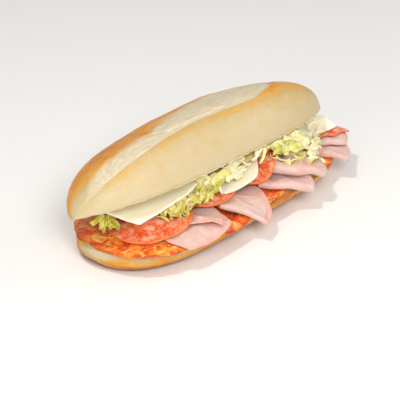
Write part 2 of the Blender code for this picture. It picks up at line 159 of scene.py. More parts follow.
class Graph:
    """A material's nodes, written as calls."""

    def __init__(self, name):
        self.material = bpy.data.materials.new(name)
        self.material.use_nodes = True
        self.nodes = self.material.node_tree.nodes
        self.shader = self.nodes["Principled BSDF"]
        self.place = self.nodes.new("ShaderNodeTexCoord").outputs["Object"]
        self.skin = None

    def wire(self, socket, value):
        if isinstance(value, bpy.types.NodeSocket):
            self.material.node_tree.links.new(value, socket)
        elif isinstance(value, tuple) and len(socket.default_value) == 4:
            socket.default_value = (*value, 1)
        else:
            socket.default_value = value

    def put(self, kind, inputs, **settings):
        node = self.nodes.new("ShaderNode" + kind)
        for name, value in settings.items():
            setattr(node, name, value)
        for name, value in inputs.items():
            self.wire(node.inputs[name], value)
        return node

    def field(self, name):
        return self.put("Attribute", {}, attribute_name=name).outputs["Fac"]

    def spot(self, stretch, shift):
        inputs = {"Vector": self.place, "Scale": Vector(stretch), "Location": Vector((shift,) * 3)}
        return self.put("Mapping", inputs).outputs["Vector"]

    def noise(self, size, detail=3.0, roughness=0.55, warp=0.0, stretch=(1, 1, 1), shift=0.0):
        inputs = {"Vector": self.spot(stretch, shift), "Scale": 1 / size, "Detail": detail,
                  "Roughness": roughness, "Distortion": warp}
        return self.put("TexNoise", inputs).outputs["Fac"]

    def cells(self, size, feature="F1", shift=0.0, wander=0.0, stretch=(1, 1, 1)):
        """Distance from the middle of the nearest cell, or from its edge."""
        place = self.spot(stretch, shift)
        if wander:
            push = self.put("TexNoise", {"Vector": place, "Scale": 1 / size, "Detail": 2.0})
            reach = {0: push.outputs["Color"], 1: Vector((wander,) * 3)}
            offset = self.put("VectorMath", reach, operation="MULTIPLY").outputs[0]
            place = self.put("VectorMath", {0: place, 1: offset}, operation="ADD").outputs[0]
        inputs = {"Vector": place, "Scale": 1 / size}
        return self.put("TexVoronoi", inputs, feature=feature).outputs["Distance"]

    def ramp(self, value, *stops):
        node = self.put("ValToRGB", {"Fac": value})
        elements = node.color_ramp.elements
        while len(elements) < len(stops):
            elements.new(0.5)
        for element, (position, colour) in zip(elements, stops):
            element.position = position
            element.color = (*colour, 1)
        return node.outputs["Color"]

    def mix(self, share, first, second):
        node = self.nodes.new("ShaderNodeMix")
        node.data_type = "RGBA"
        for index, value in ((0, share), (6, first), (7, second)):
            self.wire(node.inputs[index], value)
        return node.outputs[2]

    def math(self, operation, first, second):
        return self.put("Math", {0: first, 1: second}, operation=operation).outputs[0]

    def add(self, first, second):
        return self.math("ADD", first, second)

    def times(self, first, second):
        return self.math("MULTIPLY", first, second)

    def sway(self, value, by):
        """A value from 0 to 1 turned into a swing round zero."""
        return self.times(self.add(value, -0.5), by)

    def spread(self, value, low, high, to_low=0.0, to_high=1.0):
        """From to_low where the value is low to to_high where it is high."""
        inputs = {"Value": value, "From Min": low, "From Max": high, "To Min": to_low, "To Max": to_high}
        return self.put("MapRange", inputs, interpolation_type="SMOOTHSTEP").outputs["Result"]

    def bump(self, height, distance, strength=1.0):
        """Raise the skin by this height, on top of what has raised it so far."""
        inputs = {"Height": height, "Distance": distance, "Strength": strength}
        if self.skin:
            inputs["Normal"] = self.skin
        self.skin = self.put("Bump", inputs).outputs["Normal"]

    def matt(self, value, least, most):
        """A roughness between least and most that follows a noise."""
        return self.spread(value, 0.3, 0.7, least, most)

    def translucent(self, weight, radius, depth):
        """Let light into the food: how much, and how deep for red, green and blue."""
        for name, value in (("Weight", weight), ("Radius", Vector(radius)), ("Scale", depth)):
            self.wire(self.shader.inputs["Subsurface " + name], value)

    def finish(self, **sockets):
        if self.skin:
            sockets["Normal"] = self.skin
        for name, value in sockets.items():
            self.wire(self.shader.inputs[name.replace("_", " ")], value)
        return self.material


# Colours by tone, as (tone from 0 to 1, colour).
CRUST_TONES = ((0.0, (0.585, 0.48, 0.285)), (0.20, (0.575, 0.43, 0.213)), (0.33, (0.585, 0.365, 0.115)),
               (0.42, (0.67, 0.375, 0.085)), (0.62, (0.68, 0.275, 0.030)), (0.86, (0.46, 0.13, 0.012)),
               (1.0, (0.16, 0.04, 0.01)))
TORN_TONES = ((0.25, (0.56, 0.46, 0.29)), (0.48, (0.68, 0.58, 0.40)), (0.72, (0.76, 0.67, 0.49)))
FRECKLE_BROWN = (0.55, 0.28, 0.08)
PORE_SHADE = (0.60, 0.46, 0.26)
CRUMB_CREAM = (0.88, 0.80, 0.60)


def crust_material():
    """Baked crust, the pale torn band of the baker's cut, and the crumb of the cut faces."""
    g = Graph("crust_baked")
    mottle = g.noise(11 * MM, detail=4, roughness=0.6)
    fine = g.noise(1.8 * MM, detail=3, roughness=0.6)
    tone = g.add(g.field("bake"), g.sway(mottle, by=0.42))
    tone = g.add(tone, g.sway(fine, by=0.22))
    baked = g.ramp(tone, *CRUST_TONES)
    freckles = g.spread(g.cells(5.5 * MM, wander=2 * MM), 0.10, 0.02)
    baked = g.mix(g.times(freckles, 0.35), baked, FRECKLE_BROWN)
    fibres = g.noise(2.2 * MM, detail=4, roughness=0.65, warp=0.4, stretch=(0.14, 1, 1))
    torn = g.ramp(fibres, *TORN_TONES)
    colour = g.mix(g.field("score"), baked, torn)
    pores = g.spread(g.cells(2.6 * MM, wander=1 * MM), 0.10, 0.34)
    crumb = g.mix(pores, PORE_SHADE, CRUMB_CREAM)
    colour = g.mix(g.field("crumb"), colour, crumb)
    g.bump(g.noise(0.9 * MM), 0.10 * MM)
    g.bump(g.noise(4 * MM, roughness=0.5, warp=0.8), 0.25 * MM)
    g.bump(g.times(fibres, g.field("score")), 0.9 * MM)
    g.bump(g.times(pores, g.field("crumb")), 0.8 * MM)
    dull = g.matt(mottle, 0.42, 0.56)
    dull = g.add(g.times(g.field("score"), 0.2), dull)
    return g.finish(Base_Color=colour, Roughness=dull, Specular_IOR_Level=0.35)


HAM_TONES = ((0.30, (0.66, 0.37, 0.32)), (0.48, (0.69, 0.465, 0.41)), (0.68, (0.72, 0.55, 0.51)))
HAM_RIM = (0.86, 0.40, 0.33)
HAM_SPECK = (0.93, 0.80, 0.74)


def ham_material():
    """Pale, moist, clouded pink with light specks and a redder cut rim."""
    g = Graph("ham_cooked")
    cloud = g.noise(13 * MM, roughness=0.5, warp=0.6, shift=0.03)
    grain = g.noise(2.2 * MM, detail=4, roughness=0.6, stretch=(1, 0.45, 1))
    tone = g.add(g.times(cloud, 0.75), g.times(grain, 0.25))
    colour = g.ramp(tone, *HAM_TONES)
    rim = g.spread(g.field("inside"), 0.07, 0.0, to_high=0.7)
    colour = g.mix(rim, colour, HAM_RIM)
    specks = g.spread(g.cells(3.4 * MM, wander=2 * MM), 0.13, 0.05)
    colour = g.mix(g.times(specks, 0.35), colour, HAM_SPECK)
    g.bump(grain, 0.22 * MM)
    g.bump(cloud, 0.6 * MM, strength=0.6)
    dull = g.matt(grain, 0.27, 0.42)
    g.translucent(0.35, (1.0, 0.35, 0.25), 3 * MM)
    return g.finish(Base_Color=colour, Roughness=dull, Specular_IOR_Level=0.4)


SALAMI_TONES = ((0.3, (0.72, 0.08, 0.02)), (0.5, (0.86, 0.145, 0.045)), (0.7, (0.92, 0.23, 0.08)))
# A painted sheen, laid over the middle of each slice.
SALAMI_PAINTED_SHEEN = (0.82, 0.31, 0.21)
# Pale patches: partly real pale meat, partly painted sheen.
SALAMI_PALE_AND_SHEEN = (0.88, 0.42, 0.27)
SALAMI_CRACK = (0.62, 0.05, 0.02)
SALAMI_FAT = (0.94, 0.54, 0.33)
SALAMI_RIM = (0.86, 0.22, 0.05)


def salami_material():
    """Red cured meat with large and small flecks of fat, fine cracks, an orange-red rim and painted sheen.
    """
    g = Graph("salami_cured")
    cloud = g.noise(9 * MM)
    meat = g.ramp(cloud, *SALAMI_TONES)
    # Painted sheen: the middle of each slice is mixed towards a pinkish colour.
    lean = g.mix(g.spread(g.field("inside"), 0.35, 0.9, to_high=0.9), meat, SALAMI_PAINTED_SHEEN)
    # Pale patches: partly real pale meat, partly painted sheen.
    pale = g.spread(g.noise(13 * MM, roughness=0.5, warp=0.6, shift=2.1), 0.50, 0.62)
    lean = g.mix(g.times(pale, 0.5), lean, SALAMI_PALE_AND_SHEEN)
    large = g.spread(g.cells(7.5 * MM, wander=7 * MM, stretch=(1, 0.7, 1)), 0.50, 0.22)
    small = g.spread(g.cells(3.0 * MM, wander=3 * MM, shift=0.3), 0.46, 0.20)
    keep = g.spread(g.noise(8 * MM, detail=2, shift=0.7), 0.34, 0.5)
    fat = g.math("MAXIMUM", g.times(large, keep), g.times(small, 0.7))
    cracks = g.cells(6 * MM, "DISTANCE_TO_EDGE", shift=0.9, wander=5 * MM)
    cracks = g.spread(cracks, 0.07, 0.0)
    lean = g.mix(g.times(cracks, 0.5), lean, SALAMI_CRACK)
    colour = g.mix(g.times(fat, 0.85), lean, SALAMI_FAT)
    colour = g.mix(g.spread(g.field("inside"), 0.05, 0.0), colour, SALAMI_RIM)
    g.bump(fat, 0.22 * MM)
    g.bump(g.noise(1.1 * MM), 0.16 * MM)
    dull = g.matt(cloud, 0.22, 0.4)
    g.translucent(0.12, (1.0, 0.3, 0.15), 2 * MM)
    return g.finish(Base_Color=colour, Roughness=dull)


CAPICOLA_TONES = ((0.36, (0.52, 0.045, 0.005)), (0.45, (0.78, 0.095, 0.008)), (0.52, (0.90, 0.20, 0.016)),
                  (0.58, (0.94, 0.38, 0.05)), (0.66, (0.96, 0.62, 0.20)))
# Yellow-orange streaks: partly fat, partly painted highlight.
CAPICOLA_FAT_AND_HIGHLIGHT = (0.97, 0.66, 0.24)
CAPICOLA_SPICE = (0.34, 0.03, 0.006)


def capicola_material():
    """Glossy red lean with orange fat in smears and streaks; the streaks are partly painted highlight."""
    g = Graph("capicola_cured")
    marble = g.noise(15 * MM, detail=4, warp=1.2)
    grain = g.noise(2.4 * MM, detail=4, roughness=0.6, warp=0.8)
    tone = g.add(g.times(marble, 0.85), g.times(grain, 0.15))
    colour = g.ramp(tone, *CAPICOLA_TONES)
    # Yellow-orange streaks: partly fat, partly painted highlight.
    streaks = g.noise(5 * MM, roughness=0.5, warp=1.5, stretch=(0.6, 1.6, 1), shift=0.4)
    streaks = g.spread(streaks, 0.56, 0.66)
    colour = g.mix(g.times(streaks, 0.7), colour, CAPICOLA_FAT_AND_HIGHLIGHT)
    spice = g.spread(g.field("inside"), 0.10, 0.0, to_high=0.7)
    colour = g.mix(g.times(spice, g.spread(grain, 0.4, 0.6)), colour, CAPICOLA_SPICE)
    g.bump(marble, 2.6 * MM)
    g.bump(streaks, 0.35 * MM)
    g.bump(grain, 0.35 * MM)
    dull = g.matt(grain, 0.12, 0.30)
    g.translucent(0.1, (1.0, 0.3, 0.1), 2 * MM)
    return g.finish(Base_Color=colour, Roughness=dull, Coat_Weight=0.35, Coat_Roughness=0.08)


CHEESE_TONES = ((0.3, (0.98, 0.90, 0.68)), (0.7, (0.98, 0.95, 0.79)))
# A painted highlight along the cut rim.
CHEESE_RIM_HIGHLIGHT = (0.96, 0.93, 0.80)


def cheese_material():
    """Smooth pale yellow, with a painted highlight along the cut rim."""
    g = Graph("cheese_sliced")
    cloud = g.noise(16 * MM)
    fine = g.noise(1.5 * MM)
    colour = g.ramp(cloud, *CHEESE_TONES)
    # Painted highlight along the cut rim.
    colour = g.mix(g.spread(g.field("inside"), 0.12, 0.0, to_high=0.6), colour, CHEESE_RIM_HIGHLIGHT)
    g.bump(fine, 0.06 * MM)
    g.bump(cloud, 0.6 * MM, strength=0.5)
    dull = g.matt(fine, 0.30, 0.42)
    g.translucent(0.3, (1.0, 0.8, 0.45), 2.5 * MM)
    return g.finish(Base_Color=colour, Roughness=dull)


LETTUCE_TONES = ((0.0, (0.98, 0.91, 0.68)), (0.22, (0.96, 0.90, 0.52)), (0.5, (0.86, 0.81, 0.21)),
                 (0.75, (0.62, 0.56, 0.05)), (1.0, (0.33, 0.31, 0.02)))
LETTUCE_VEIN = (0.95, 0.91, 0.62)
# Brown painted shade, in the gaps between shreds and on shaded stretches of the heap.
LETTUCE_PAINTED_SHADE = (0.50, 0.29, 0.06)


def lettuce_material():
    """From white rib over yellow heart to green leaf, with veins and brown painted shade."""
    g = Graph("lettuce_fresh")
    cloud = g.noise(7 * MM)
    veins = g.spread(g.cells(5.5 * MM, "DISTANCE_TO_EDGE", wander=2 * MM), 0.10, 0.0)
    tone = g.add(g.field("green"), g.sway(cloud, by=0.3))
    colour = g.ramp(tone, *LETTUCE_TONES)
    colour = g.mix(g.times(veins, 0.45), colour, LETTUCE_VEIN)
    # Brown painted shade where the lettuce lies in shade.
    colour = g.mix(g.times(g.field("wilt"), 0.6), colour, LETTUCE_PAINTED_SHADE)
    g.bump(veins, 0.25 * MM)
    g.bump(g.noise(1.6 * MM), 0.08 * MM)
    dull = g.matt(cloud, 0.36, 0.52)
    g.translucent(0.3, (1.0, 1.0, 0.6), 1 * MM)
    return g.finish(Base_Color=colour, Roughness=dull, Specular_IOR_Level=0.3)


FLOOR_TONES = ((0.4, (0.86, 0.86, 0.86)), (0.6, (0.88, 0.88, 0.88)))


def floor_material():
    g = Graph("studio_floor")
    return g.finish(Base_Color=g.ramp(g.noise(0.6, detail=2), *FLOOR_TONES), Roughness=0.7)


# ---------- meshes

def new_object(name, data):
    made = bpy.data.objects.new(name, data)
    bpy.context.scene.collection.objects.link(made)
    return made


def new_mesh(name, points, faces):
    mesh = bpy.data.meshes.new(name)
    mesh.from_pydata(points, [], faces)
    return mesh


def make_piece(name, points, faces, surface, fields, slot, *nodes):
    """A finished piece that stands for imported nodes."""
    mesh = new_mesh(name, points.tolist(), faces)
    mesh.shade_smooth()
    for field, values in fields.items():
        made = mesh.attributes.new(field, "FLOAT", "POINT")
        made.data.foreach_set("value", np.ascontiguousarray(values, dtype=np.float32).ravel())
    mesh.materials.append(surface)
    piece = new_object(name, mesh)
    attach(piece, "root")
    if nodes:
        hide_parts(*nodes)
    return piece


def loft_faces(stations, around):
    """Faces of a closed skin over rings of points, with a pole at each end.

    The points come ring by ring, then the first pole and the last.
    """
    faces = []
    for i in range(stations - 1):
        for j in range(around):
            after = (j + 1) % around
            low, high = i * around, (i + 1) * around
            faces.append((low + j, high + j, high + after, low + after))
    first, last = stations * around, stations * around + 1
    end = (stations - 1) * around
    for j in range(around):
        after = (j + 1) % around
        faces.append((first, j, after))
        faces.append((last, end + after, end + j))
    return faces


def signed_power(value, power):
    """A power of the value's size, with the value's sign."""
    return np.copysign(np.abs(value) ** power, value)


def end_profile(s, power, taper):
    """How full a half is, from 1 in its middle to 0 at its ends, where s is -1 and 1."""
    return np.maximum(0, 1 - np.abs(s) ** power) ** taper


# Rings along each half, and points round its crust and across its cut face.
CROWN_GRID = (330, 210, 60)
HEEL_GRID = (300, 170, 80)


def loaf_grid(stations, dome, face):
    """Places along the roll and angles round it: dome angles first, then the cut face."""
    s = -np.cos(math.pi * (np.arange(stations) + 0.35) / (stations - 0.3))
    round_dome = math.pi * (np.arange(dome) + 0.5) / dome
    over_face = -math.pi * (np.arange(face) + 0.5) / face
    theta = np.concatenate((round_dome, over_face[::-1]))
    return np.meshgrid(s, theta, indexing="ij")


def with_poles(values, first, last):
    """Values for the points of a loft: ring by ring, then its two poles."""
    flat = values.reshape(-1, values.shape[-1]) if values.ndim == 3 else values.ravel()
    return np.concatenate((flat, [first, last]))


# ---------- crumb

PORE_SIZE = 3 * MM
PORE_LEVEL = 0.1
RAG_SIZE = 5 * MM


def crumb_pores(points, seed):
    """Pits in the crumb, from 0 up."""
    return np.maximum(0, rough_noise(points, PORE_SIZE, 2, seed) - PORE_LEVEL)


# ---------- crown

# Ridges on the crust, as (X in mm, degrees round the crown from its front edge): the two edges of the
# baker's cut, the start of the browned back at the left end, and a flap of dough in the cut.
FRONT_RIDGE = ((-141, 44), (-120, 51), (-93, 52), (-61, 57), (-18, 60), (27, 54), (43, 53), (80, 68),
               (90, 74), (101, 90))
BACK_RIDGE = ((-141, 54), (-131, 79), (-119, 83), (-58, 82), (-49, 88), (2, 94), (27, 101), (60, 114),
              (78, 113), (92, 105), (101, 93))
BROWN_RIDGE = ((-148, 118), (-140, 102), (-125, 90), (-110, 84), (-90, 80))
FLAP_RIDGE = ((-64, 84), (-55, 80), (-49, 71), (-29, 69), (-11, 68), (10, 68))
# Where the cut begins and ends in mm, and over how much.
CUT_FROM = -134
CUT_FROM_FADE = 16
CUT_TO = 103
CUT_TO_FADE = 4
# Heights on the crown, in mm.
CUT_DEPTH = 2.6
CUT_STEP = 0.7
FIBRE_HEIGHT = 0.45
TORN_HEIGHT = 0.5
LIP_HEIGHT = 1.5
BACK_LIP_HEIGHT = 1.2
FLAP_NOTCH = 1.1
NECK_DEPTH = 2.2
LUMPS = 1.1
SMALL_LUMPS = 0.28
PORE_DEPTH = 1.6
RAG_DEPTH = 0.7
# How steeply the cut's floor climbs, and how much flatter lumps are inside it.
CUT_SLOPE = 1.4
CUT_SMOOTHING = 0.6
# The lip along the cut's front edge: its top and how wide it is on either side, in degrees.
LIP_BEFORE = 2.6
LIP_OUTER = 9.0
LIP_INNER = 2.2
# How dark the crust is baked: 0 is pale and 1 is nearly burnt.
BAKE_LEAST = 0.12
BAKE_RIDGE = 0.18
BAKE_RIDGE_RIGHT = 0.06
BAKE_BEHIND = 0.59
BAKE_RIGHT_TOP = 0.32
BAKE_RIGHT_END = 0.08
BAKE_PALE_FRONT = 0.12
BAKE_SEAM = 0.34
BAKE_MOST = 0.66
BAKE_UNEVEN = 0.10
# The bake at the two poles.
BAKE_LEFT_POLE = 0.15
BAKE_RIGHT_POLE = 0.4
# How fast relief and pores grow from the edge between crust and crumb.
EDGE_GROWTH = 8


def crown_relief(x, degrees, around):
    """Height above the plain dome, and how pale the baker's cut shows."""
    along = x / MM
    front, back = curve(x, FRONT_RIDGE), curve(x, BACK_RIDGE)
    from_flap = degrees - curve(x, FLAP_RIDGE)
    across = (degrees - front) / np.maximum(back - front, 1.0)
    shaggy = 1.3 * rough_noise(around, mm(9, 4, 4), 2, seed=5)
    open_front = rise(degrees - front + 0.4 * shaggy, at=0, over=1.3)
    open_back = rise(back - degrees + 2.5 * shaggy, at=0, over=4.5)
    ends = rise(along, CUT_FROM, CUT_FROM_FADE) * fall(along, CUT_TO, CUT_TO_FADE)
    score = open_front * open_back * ends
    fibres = rough_noise(around, mm(26, 2.4, 2.4), 3, seed=7)
    torn = rough_noise(around, mm(9, 5, 5), 3, seed=9)
    trough = -CUT_DEPTH * np.clip(1 - across, 0, 1) ** CUT_SLOPE - CUT_STEP
    relief = score * (trough + FIBRE_HEIGHT * fibres + TORN_HEIGHT * torn)
    lip_width = np.where(degrees < front - LIP_BEFORE, LIP_OUTER, LIP_INNER)
    lip = bell((degrees - front + LIP_BEFORE) / lip_width) * ends * fall(along, at=86, over=14)
    back_lip = hump(degrees - back, at=5, over=8) * ends * fall(along, at=70, over=40)
    in_flap = rise(along, at=-62, over=5) * fall(along, at=16, over=8)
    notch = FLAP_NOTCH * hump(from_flap, at=-1, over=1.3)
    step = in_flap * (rise(from_flap, at=0, over=1.6) - notch)
    neck = hump(along, at=-54, over=7) * hump(degrees, at=94, over=14)
    relief = relief + LIP_HEIGHT * lip + BACK_LIP_HEIGHT * back_lip + score * step - NECK_DEPTH * neck
    lumps = LUMPS * rough_noise(around, 46 * MM, 2, seed=11)
    lumps = lumps + SMALL_LUMPS * rough_noise(around, 13 * MM, 2, seed=13)
    relief = relief + lumps * (1 - CUT_SMOOTHING * score)
    return relief * MM, score


def crown_bake(x, degrees, around, score):
    """How dark the crust is: along the cut's front ridge, behind the cut and on top at the right end."""
    along = x / MM
    front, back = curve(x, FRONT_RIDGE), curve(x, BACK_RIDGE)
    brown_from = np.maximum(back + 1, curve(x, BROWN_RIDGE))
    behind = rise(degrees - brown_from, at=-6, over=20) * (1 - 0.55 * rise(degrees, at=128, over=44))
    ridge = hump(degrees - front, at=-6, over=8)
    ridge = ridge * rise(along, CUT_FROM, CUT_FROM_FADE) * fall(along, at=80, over=16)
    right_top = rise(along, at=62, over=18) * rise(degrees, at=44, over=24)
    right_top = right_top * (1 - rise(degrees, at=96, over=30))
    on_ridge = BAKE_RIDGE + BAKE_RIDGE_RIGHT * rise(along, at=0, over=50)
    bake = BAKE_LEAST + on_ridge * ridge * (1 - score) + BAKE_BEHIND * behind
    bake = bake + BAKE_RIGHT_TOP * right_top + BAKE_RIGHT_END * rise(along, at=68, over=44)
    bake = bake - BAKE_PALE_FRONT * fall(degrees, at=16, over=12)
    bake = bake + BAKE_SEAM * hump(degrees, at=0, over=0.9)
    uneven = rough_noise(around, mm(30, 12, 12), 3, seed=17)
    return np.clip(np.minimum(bake, BAKE_MOST) + BAKE_UNEVEN * uneven, 0, 1)


def make_crown(surface):
    """Domed crust with the baker's cut along it, over a flat face of crumb."""
    s, theta = loaf_grid(*CROWN_GRID)
    over = theta > 0
    full = end_profile(s, np.where(s > 0, CROWN_RIGHT_POWER, CROWN_LEFT_POWER), END_TAPER)
    width = CROWN_HALF_WIDTH * full
    x = s * CROWN_HALF_LENGTH
    lean, up = np.cos(theta), np.maximum(0, np.sin(theta))
    power = 2 / CROWN_SIDE_POWER
    y = np.where(over, -width * signed_power(lean, power), -width * (1 + 2 * theta / math.pi))
    z = np.where(over, CROWN_HEIGHT * full * up ** power, 0)
    points = np.stack((x, y, z), -1)
    outward = np.stack((0 * x, y / CROWN_HALF_WIDTH, z / CROWN_HEIGHT), -1)
    outward /= np.maximum(np.linalg.norm(outward, axis=-1, keepdims=True), 1e-9)
    degrees = np.degrees(theta)
    relief, score = crown_relief(x, degrees, points)
    bake = crown_bake(x, degrees, points, score)
    far = ((x - HOLLOW_X) / HOLLOW_LENGTH) ** 2 + ((theta - HOLLOW_ANGLE) / HOLLOW_SPREAD) ** 2
    relief = (relief - HOLLOW_DEPTH * np.exp(-far)) * np.minimum(1, 2 * full)
    edge = np.minimum(1, np.abs(np.sin(theta)) * EDGE_GROWTH)
    points = points + outward * np.where(over, relief * edge, 0)[..., None]
    pores = crumb_pores(points, seed=19)
    rag = rough_noise(points, RAG_SIZE, 3, seed=23) * hump(degrees, at=0, over=7)
    points[..., 2] += np.where(over, 0, PORE_DEPTH * MM * pores * edge) + RAG_DEPTH * MM * rag
    ends = ((-CROWN_HALF_LENGTH, 0, 0), (CROWN_HALF_LENGTH, 0, 0))
    placed = with_poles(points, *ends) @ np.array(CROWN_TURN).T + np.array(CROWN_CENTRE)
    fields = {"score": with_poles(score * over, 0, 0),
              "bake": with_poles(np.where(over, bake, 0), BAKE_LEFT_POLE, BAKE_RIGHT_POLE),
              "crumb": with_poles(np.where(over, 0.0, 1.0), 0, 0)}
    return make_piece("roll_crown", placed, loft_faces(*s.shape), surface, fields, "crust", "crown")


# ---------- heel

# Unevenness of the heel, in mm.
HEEL_LUMPS = 0.9
HEEL_SMALL_LUMPS = 0.3
HEEL_PORE_DEPTH = 1.2
HEEL_RAG_DEPTH = 0.4
# The lowest share of its height, free of lumps.
HEEL_FOOT = 0.12
# Lumps push along the roll by this power of the place, so only near its ends.
HEEL_END_PUSH = 7
# How dark the heel is baked, on the crown's scale.
HEEL_BAKE = 0.60
HEEL_BAKE_LOW = 0.20
HEEL_BAKE_PATCHES = 0.42
HEEL_BAKE_UNEVEN = 0.14
# Darker at the very bottom: partly crust browned where it stood, partly painted contact shadow.
HEEL_BAKE_BOTTOM_AND_SHADE = 0.6
HEEL_BAKE_TOP = 0.14
HEEL_BAKE_FLOURY = 0.5
HEEL_BAKE_POLES = 0.4
# How far in from the rim crust gives way to crumb, and over how much.
CRUMB_FROM = 5 * MM
CRUMB_FADE = 4 * MM


def heel_bake(points, high):
    """How dark the heel is at this share of its height, with floury patches and a floury left end."""
    patches = soft_step((rough_noise(points, mm(20, 20, 9), 3, seed=43) - 0.12) * 4)
    bake = HEEL_BAKE + HEEL_BAKE_LOW * hump(high, at=0.25, over=0.2)
    bake = bake - HEEL_BAKE_PATCHES * patches * hump(high, at=0.72, over=0.35)
    bake = bake + HEEL_BAKE_UNEVEN * rough_noise(points, mm(40, 40, 12), 3, seed=47)
    # Painted contact shadow along the foot, on top of the crust browned where it stood.
    bake = bake + HEEL_BAKE_BOTTOM_AND_SHADE * soft_step((0.11 - high) * 20)
    bake = bake + HEEL_BAKE_TOP * soft_step((high - 0.84) * 9)
    floury = hump(points[..., 0] / MM, at=-146, over=9) * hump(points[..., 1] / MM, at=-8, over=16)
    floury = floury * soft_step((high - 0.58) * 6)
    return np.clip(bake - HEEL_BAKE_FLOURY * floury, 0, 1)


def make_heel(surface):
    """The lower half: crumb on top, crust round the sides, flat and browned, with painted shadow, where it
    stood.
    """
    s, theta = loaf_grid(*HEEL_GRID)
    under = theta > 0
    width = HEEL_HALF_WIDTH * end_profile(s, HEEL_END_POWER, END_TAPER)
    power = 2 / (HEEL_SIDE_POWER + HEEL_LEFT_FULLNESS * np.maximum(0, HEEL_FULL_FROM - s))
    depth = HEEL_ROUNDING * HEEL_HEIGHT * end_profile(s, HEEL_BASE_POWER, HEEL_BASE_TAPER)
    y = np.where(under, width * signed_power(np.cos(theta), power), width * (1 + 2 * theta / math.pi))
    z = np.where(under, HEEL_HEIGHT - depth * np.maximum(0, np.sin(theta)) ** power, HEEL_HEIGHT)
    x = s * HEEL_HALF_LENGTH
    points = np.stack((x, -HEEL_BELLY * (1 - s * s) + y, np.maximum(z, 0)), -1)
    outward = np.stack((s ** HEEL_END_PUSH, y / HEEL_HALF_WIDTH, 0 * y), -1)
    high = np.clip(z / HEEL_HEIGHT, 0, 1)
    wall = under * soft_step((high - HEEL_FOOT) * 8 - 1)
    lumps = HEEL_LUMPS * rough_noise(points, mm(34, 34, 20), 2, seed=29)
    lumps = lumps + HEEL_SMALL_LUMPS * rough_noise(points, 9 * MM, 2, seed=31)
    points += outward * (lumps * MM * wall)[..., None]
    pores = crumb_pores(points, seed=37)
    rag = rough_noise(points, RAG_SIZE, 3, seed=41) * bell((high - 1) * 7)
    down = np.where(under, 0, HEEL_PORE_DEPTH * MM * pores)
    points[..., 2] -= down + HEEL_RAG_DEPTH * MM * np.abs(rag) * (high > 0.5)
    slope = np.gradient(width, axis=0) / np.gradient(x, axis=0)
    from_rim = (width - np.abs(y)) / np.hypot(1, slope)
    crumb = np.where(under, 0.0, rise(from_rim, CRUMB_FROM, CRUMB_FADE))
    fields = {"score": with_poles(0 * s, 0, 0),
              "bake": with_poles(heel_bake(points, high), HEEL_BAKE_POLES, HEEL_BAKE_POLES),
              "crumb": with_poles(crumb, 0, 0)}
    ends = ((-HEEL_HALF_LENGTH, 0, HEEL_HEIGHT), (HEEL_HALF_LENGTH, 0, HEEL_HEIGHT))
    placed = with_poles(points, *ends) + np.array(HEEL_MIDDLE)
    return make_piece("roll_heel", placed, loft_faces(*s.shape), surface, fields, "crust", "heel")


# ---------- slices

# A slice's cut rim: edges sharper than this, on a face with an edge shorter than this.
RIM_ANGLE = math.radians(50)
RIM_HEIGHT = 2.4 * MM
# How many edges in from the rim its middle begins.
RIM_HOPS = 3
SAME_POINT = 0.001 * MM
# Triangles are joined to quads within these angles.
JOIN_FACE_ANGLE = math.radians(60)
JOIN_SHAPE_ANGLE = math.radians(170)
# The size of the shared waves, and how far they reach in X, Y and Z in mm.
WARP_SIZE = 16 * MM
WARP_REACH = (0.8, 0.8, 0.45)
# By kind: how sharp the cut rim stays, from 0 to 1, and how high it ripples in mm.
SLICE_KINDS = {"capicola": (0.3, 0.8), "salami": (0.5, 0.3), "ham": (0.4, 0.5), "cheese": (0.8, 0.0)}
HAM_FOLDS = ("1", "2", "3_lower", "3_upper", "4_lower", "4_upper")


def hops_from(start, steps):
    """How many edges each vertex is from the nearest vertex in start, up to steps."""
    reached = {vert: 0 for vert in start}
    front = list(start)
    for hop in range(1, steps + 1):
        front = [edge.other_vert(vert) for vert in front for edge in vert.link_edges]
        front = [vert for vert in front if reached.setdefault(vert, hop) == hop]
    return reached


def read(items, name):
    """A vector of every item of a mesh."""
    values = np.empty(len(items) * 3)
    items.foreach_get(name, values)
    return values.reshape(-1, 3)


def refined(node, levels, crease):
    """A packed slice's points, faces and a field from 0 at its cut rim to 1 in its middle."""
    bm = bmesh.new()
    bm.from_mesh(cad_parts[node].data)
    bmesh.ops.remove_doubles(bm, verts=bm.verts, dist=SAME_POINT)
    sharp = bm.edges.layers.float.new("crease_edge")
    inside = bm.verts.layers.float.new("inside")
    wall = {face for face in bm.faces if min(edge.calc_length() for edge in face.edges) < RIM_HEIGHT}
    rim = [edge for edge in bm.edges
           if edge.calc_face_angle(0) > RIM_ANGLE and wall.intersection(edge.link_faces)]
    for edge in rim:
        edge[sharp] = crease
    near = hops_from({vert for edge in rim for vert in edge.verts}, RIM_HOPS)
    for vert in bm.verts:
        vert[inside] = near.get(vert, RIM_HOPS) / RIM_HOPS
    bmesh.ops.join_triangles(bm, faces=bm.faces, angle_face_threshold=JOIN_FACE_ANGLE,
                             angle_shape_threshold=JOIN_SHAPE_ANGLE)
    mesh = bpy.data.meshes.new(node + "_fine")
    bm.to_mesh(mesh)
    bm.free()
    worker = new_object(node + "_fine", mesh)
    smooth = worker.modifiers.new("smooth", "SUBSURF")
    smooth.levels = levels
    smooth.render_levels = levels
    shown = worker.evaluated_get(bpy.context.evaluated_depsgraph_get())
    fine = shown.to_mesh()
    points = read(fine.vertices, "co")
    values = np.empty(len(fine.vertices))
    fine.attributes["inside"].data.foreach_get("value", values)
    faces = [tuple(face.vertices) for face in fine.polygons]
    shown.to_mesh_clear()
    bpy.data.objects.remove(worker)
    return points, faces, values


def shared_warp(points):
    """Small waves that run through all slices alike, so that they stay clear of each other."""
    shift = np.stack([smooth_noise(points, WARP_SIZE, seed) for seed in (51, 52, 53)], -1)
    return points + shift * np.array(WARP_REACH) * MM


